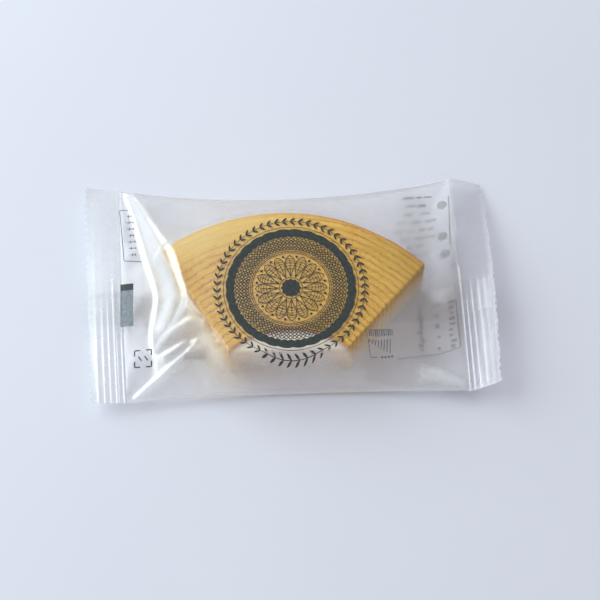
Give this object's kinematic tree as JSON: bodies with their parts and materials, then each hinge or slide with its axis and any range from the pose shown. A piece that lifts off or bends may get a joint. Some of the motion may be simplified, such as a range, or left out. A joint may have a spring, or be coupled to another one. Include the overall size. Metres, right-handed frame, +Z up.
{
  "type": "baumkuchen slice in a sealed pillow pack",
  "caption": "Slice of layered ring cake lying flat in a sealed pillow pack of frosted film, with crimped, saw-cut end seals.",
  "frame": {"origin": "centre of the pack's box in plan, on the surface that it lies on", "axes": "+X along the pack from its left seal to its right seal, +Y towards the slice's outer arc, +Z up"},
  "size_m": [0.158, 0.09, 0.0244],
  "materials": {
    "frosted_film": "thin frosted polypropylene film, hazy with soft glossy creases, with the yellow cake showing through it"
  },
  "bodies": {
    "root": {"pack": "frosted_film"}
  },
  "joints": []
}
